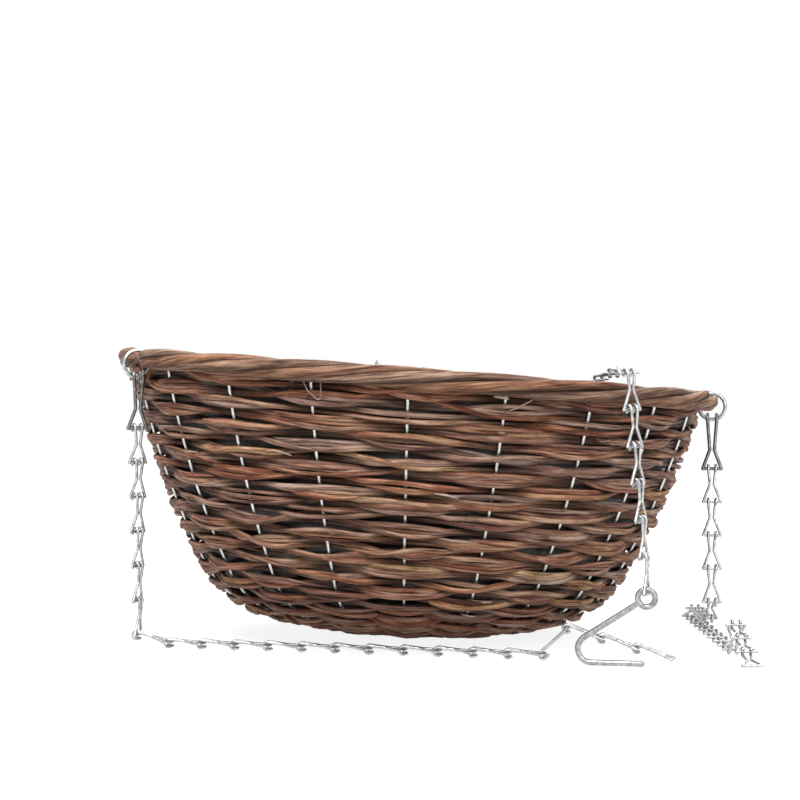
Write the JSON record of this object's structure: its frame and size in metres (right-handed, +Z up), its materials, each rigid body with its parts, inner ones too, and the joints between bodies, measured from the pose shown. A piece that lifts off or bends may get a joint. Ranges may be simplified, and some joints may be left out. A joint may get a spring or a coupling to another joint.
{
  "type": "hanging wicker basket",
  "caption": "Shallow woven twig bowl with a plaited border and a film liner, hung from three double loop chains that meet on a gathering hook.",
  "frame": {"origin": "on the ground, under the middle of the border", "axes": "+Z up, and +X to the right and -Y to the front as the picture shows the basket"},
  "size_m": [0.349, 0.348, 0.1664],
  "materials": {
    "twig_weave": "stripped and split twigs, dry and unvarnished",
    "inner_twig_weave": "split twigs, dry and unvarnished",
    "border_vine": "round vines with their bark on, twisted",
    "liner_film": "dull film",
    "rib_wire": "zinc plated wire",
    "zinc_chain_wire": "zinc plated wire",
    "dark_clip_wire": "dark plated wire",
    "hook_wire": "zinc plated wire"
  },
  "bodies": {
    "basket": {"rim_wire": "rib_wire", "base_ring": "rib_wire", "ribs": "rib_wire", "woven_base": "twig_weave", "outside_weave": "twig_weave", "inside_weave": "inner_twig_weave", "border": "border_vine", "liner": "liner_film"},
    "left_hang": {"left_ring": "zinc_chain_wire", "left_clip": "dark_clip_wire", "left_hang": "zinc_chain_wire"},
    "right_hang": {"right_ring": "zinc_chain_wire", "right_clip": "dark_clip_wire", "right_hang": "zinc_chain_wire"},
    "rear_ring": {"rear_ring": "zinc_chain_wire"},
    "rear_drop": {"rear_clip": "dark_clip_wire", "rear_drop": "zinc_chain_wire"},
    "left_corner": {"left_corner": "zinc_chain_wire"},
    "left_floor": {"left_floor": "zinc_chain_wire"},
    "left_rise": {"left_rise": "zinc_chain_wire"},
    "left_tip": {"left_tip": "zinc_chain_wire"},
    "right_corner": {"right_corner": "zinc_chain_wire"},
    "right_top": {"right_top": "zinc_chain_wire"},
    "right_slant": {"right_slant": "zinc_chain_wire"},
    "right_floor": {"right_floor": "zinc_chain_wire"},
    "right_rise": {"right_rise": "zinc_chain_wire"},
    "right_tip": {"right_tip": "zinc_chain_wire"},
    "rear_low": {"rear_low": "zinc_chain_wire"},
    "rear_rise": {"rear_rise": "zinc_chain_wire"},
    "rear_rim": {"rear_rim": "zinc_chain_wire"},
    "rear_hang": {"rear_hang": "zinc_chain_wire"},
    "hook": {"hook": "hook_wire"}
  },
  "joints": [
    {"name": "left_chain_lift", "type": "hinge", "parent": "basket", "child": "left_hang", "pos_m": [-0.15375, -0.06545, 0.15886], "axis": [-0.3896, 0.9205, 0.0293], "range_deg": [0, 204]},
    {"name": "left_corner_bend", "type": "hinge", "parent": "left_hang", "child": "left_corner", "pos_m": [-0.15532, -0.06603, 0.00679], "axis": [0.2342, 0.9722, 0], "range_deg": [0, 78.85]},
    {"name": "left_floor_bend", "type": "hinge", "parent": "left_corner", "child": "left_floor", "pos_m": [-0.1372, -0.07039, 0.0031], "axis": [0.2342, 0.9722, 0], "range_deg": [0, 11.25]},
    {"name": "left_rise_bend", "type": "hinge", "parent": "left_floor", "child": "left_rise", "pos_m": [0.06486, -0.12376, 0.0031], "axis": [0.2443, 0.9697, 0], "range_deg": [0, 48.05]},
    {"name": "left_tip_bend", "type": "hinge", "parent": "left_rise", "child": "left_tip", "pos_m": [0.07719, -0.12687, 0.01722], "axis": [-0.2443, -0.9697, 0], "range_deg": [0, 62.55]},
    {"name": "right_chain_lift", "type": "hinge", "parent": "basket", "child": "right_hang", "pos_m": [0.1654, -0.02331, 0.13486], "axis": [-0.1388, -0.9903, 0.0104], "range_deg": [0, 195.8]},
    {"name": "right_corner_bend", "type": "hinge", "parent": "right_hang", "child": "right_corner", "pos_m": [0.16705, -0.02357, 0.02079], "axis": [-1, 0.0004, 0], "range_deg": [0, 55.05]},
    {"name": "right_top_bend", "type": "hinge", "parent": "right_corner", "child": "right_top", "pos_m": [0.16706, -0.00801, 0.00989], "axis": [-1, 0.0004, 0], "range_deg": [0, 35.05]},
    {"name": "right_slant_bend", "type": "hinge", "parent": "right_top", "child": "right_slant", "pos_m": [0.16708, 0.04899, 0.00989], "axis": [1, -0.0004, 0], "range_deg": [0, 20.05]},
    {"name": "right_floor_bend", "type": "hinge", "parent": "right_slant", "child": "right_floor", "pos_m": [0.16709, 0.06685, 0.0034], "axis": [1, -0.0004, 0], "range_deg": [0, 160.05]},
    {"name": "right_rise_bend", "type": "hinge", "parent": "right_floor", "child": "right_rise", "pos_m": [0.16702, -0.10415, 0.0034], "axis": [1, -0.0004, 0], "range_deg": [0, 50.05]},
    {"name": "right_tip_bend", "type": "hinge", "parent": "right_rise", "child": "right_tip", "pos_m": [0.16702, -0.11637, 0.01795], "axis": [-1, 0.0004, 0], "range_deg": [0, 65.05]},
    {"name": "rear_chain_lift", "type": "hinge", "parent": "basket", "child": "rear_ring", "pos_m": [-0.02613, 0.16544, 0.14927], "axis": [-0.9849, -0.1564, 0.0741], "range_deg": [0, 70.5]},
    {"name": "rear_clip_turn", "type": "hinge", "parent": "rear_ring", "child": "rear_drop", "pos_m": [-0.02464, 0.15733, 0.15194], "axis": [-0.0804, 0.0345, -0.9962], "range_deg": [0, 17.02]},
    {"name": "rear_low_bend", "type": "hinge", "parent": "rear_drop", "child": "rear_low", "pos_m": [0.06173, -0.02147, 0.13879], "axis": [0.7426, 0.3152, 0.5909], "range_deg": [0, 6.05]},
    {"name": "rear_rise_bend", "type": "hinge", "parent": "rear_low", "child": "rear_rise", "pos_m": [0.08329, -0.07422, 0.13983], "axis": [0.8707, 0.3625, 0.3325], "range_deg": [0, 11.05]},
    {"name": "rear_rim_bend", "type": "hinge", "parent": "rear_rise", "child": "rear_rim", "pos_m": [0.10104, -0.1272, 0.15111], "axis": [-0.9436, -0.3271, -0.0518], "range_deg": [0, 12.05]},
    {"name": "rear_hang_bend", "type": "hinge", "parent": "rear_rim", "child": "rear_hang", "pos_m": [0.10727, -0.14515, 0.15092], "axis": [-0.9436, -0.3271, -0.0518], "range_deg": [0, 85.05]},
    {"name": "hook_swing", "type": "hinge", "parent": "rear_hang", "child": "hook", "pos_m": [0.11572, -0.15154, 0.03537], "axis": [-0.225, -0.9744, 0], "range_deg": [0, 75.89]}
  ],
  "couplings": [
    {"joint": "left_corner_bend", "follows": "left_chain_lift", "ratio": 0.38627},
    {"joint": "left_floor_bend", "follows": "left_chain_lift", "ratio": 0.054902},
    {"joint": "left_rise_bend", "follows": "left_chain_lift", "ratio": 0.23529},
    {"joint": "left_tip_bend", "follows": "left_chain_lift", "ratio": 0.30637},
    {"joint": "right_corner_bend", "follows": "right_chain_lift", "ratio": 0.2809},
    {"joint": "right_top_bend", "follows": "right_chain_lift", "ratio": 0.17875},
    {"joint": "right_slant_bend", "follows": "right_chain_lift", "ratio": 0.10214},
    {"joint": "right_floor_bend", "follows": "right_chain_lift", "ratio": 0.81716},
    {"joint": "right_rise_bend", "follows": "right_chain_lift", "ratio": 0.25536},
    {"joint": "right_tip_bend", "follows": "right_chain_lift", "ratio": 0.33197},
    {"joint": "rear_clip_turn", "follows": "rear_chain_lift", "ratio": 0.24064},
    {"joint": "rear_low_bend", "follows": "rear_chain_lift", "ratio": 0.085106},
    {"joint": "rear_rise_bend", "follows": "rear_chain_lift", "ratio": 0.15603},
    {"joint": "rear_rim_bend", "follows": "rear_chain_lift", "ratio": 0.17021},
    {"joint": "rear_hang_bend", "follows": "rear_chain_lift", "ratio": 1.2057},
    {"joint": "hook_swing", "follows": "rear_chain_lift", "ratio": 1.0757}
  ]
}
